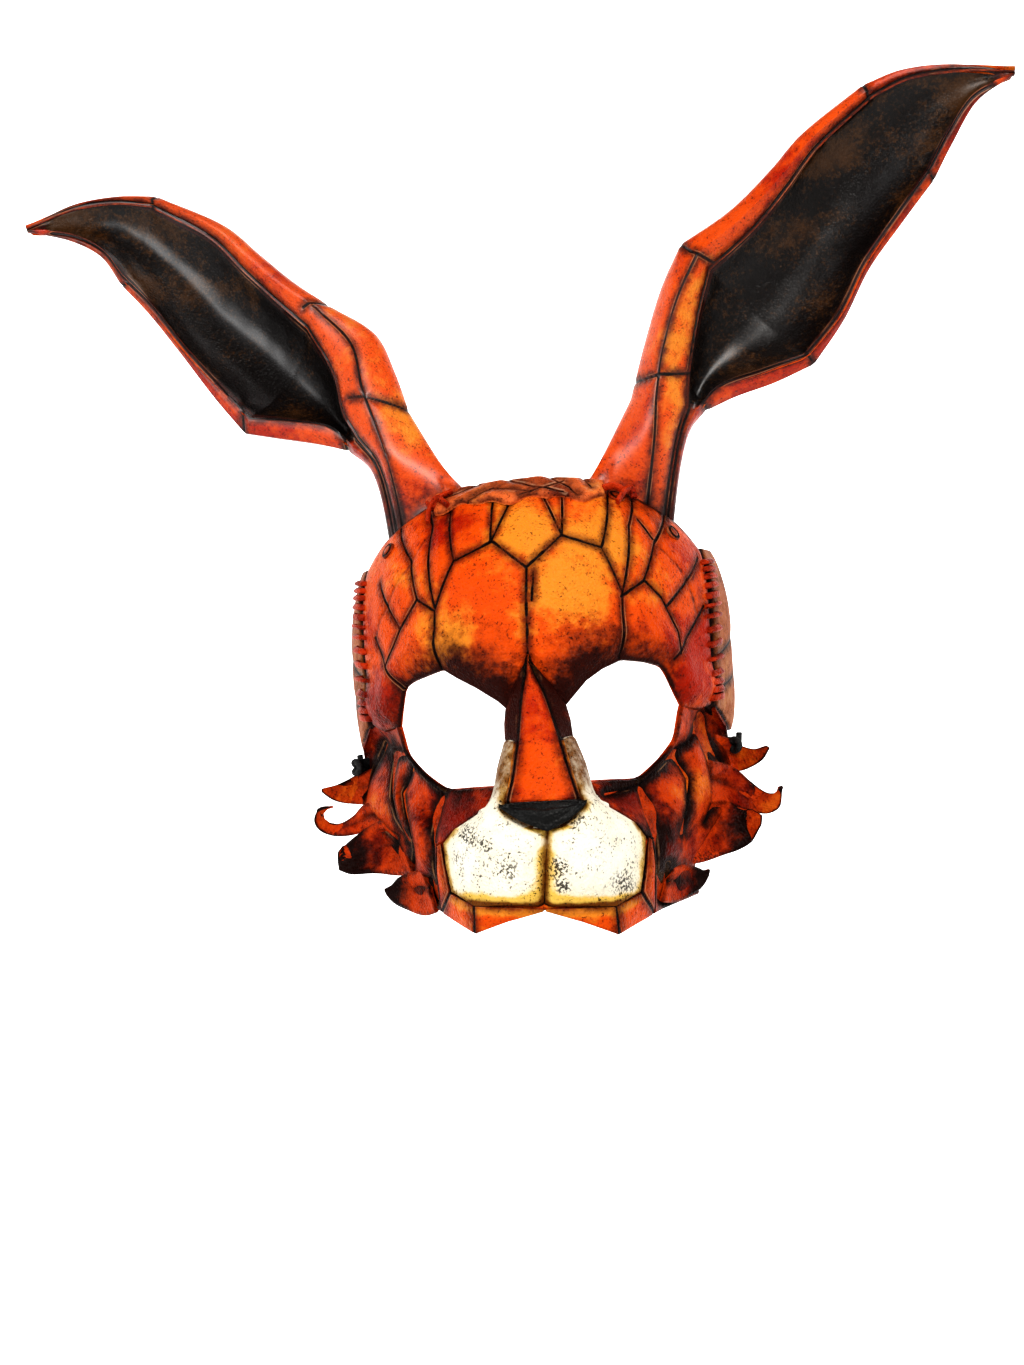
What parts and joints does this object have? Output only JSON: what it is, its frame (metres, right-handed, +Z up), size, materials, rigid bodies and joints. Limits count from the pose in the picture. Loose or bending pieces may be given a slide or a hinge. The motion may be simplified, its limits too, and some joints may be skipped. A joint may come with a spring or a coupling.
{
  "type": "leather rabbit mask",
  "caption": "Half mask of shaped leather with a rabbit's face, open eyes, laced temples, curled cheek locks, long upright ears and an elastic head strap",
  "frame": {"origin": "middle of the wearer's head at brow height, where the mask is held up as a head holds it", "axes": "+X to the viewer's right, which is the wearer's left, and across the ears; -Y out of the face to the front; +Z up"},
  "size_m": [0.3969, 0.2177, 0.3154],
  "materials": {
    "tan_leather": "glossy dyed vegetable-tanned leather",
    "red_leather": "glossy dyed vegetable-tanned leather",
    "ear_leather": "glossy dyed leather, darker in the cups",
    "brown_leather": "satin brown leather",
    "cream_leather": "satin cream leather with burnt edges",
    "black_leather": "satin black leather",
    "thong_leather": "waxed leather thong",
    "rivet_caps": "rivets capped in dyed leather",
    "elastic": "woven black elastic"
  },
  "bodies": {
    "root": {"forehead_plate": "tan_leather", "nose_bridge": "tan_leather", "nose_tip": "black_leather", "muzzle": "cream_leather", "lip_rim": "tan_leather", "cheek_left": "red_leather", "cheek_right": "red_leather", "side_panel_left": "brown_leather", "side_panel_right": "brown_leather", "lacing_left": "thong_leather", "lacing_right": "thong_leather", "ear_left": "ear_leather", "ear_right": "ear_leather", "rivet_left_inner": "rivet_caps", "rivet_left_outer": "rivet_caps", "rivet_right_inner": "rivet_caps", "rivet_right_outer": "rivet_caps", "head_strap": "elastic"}
  },
  "joints": []
}
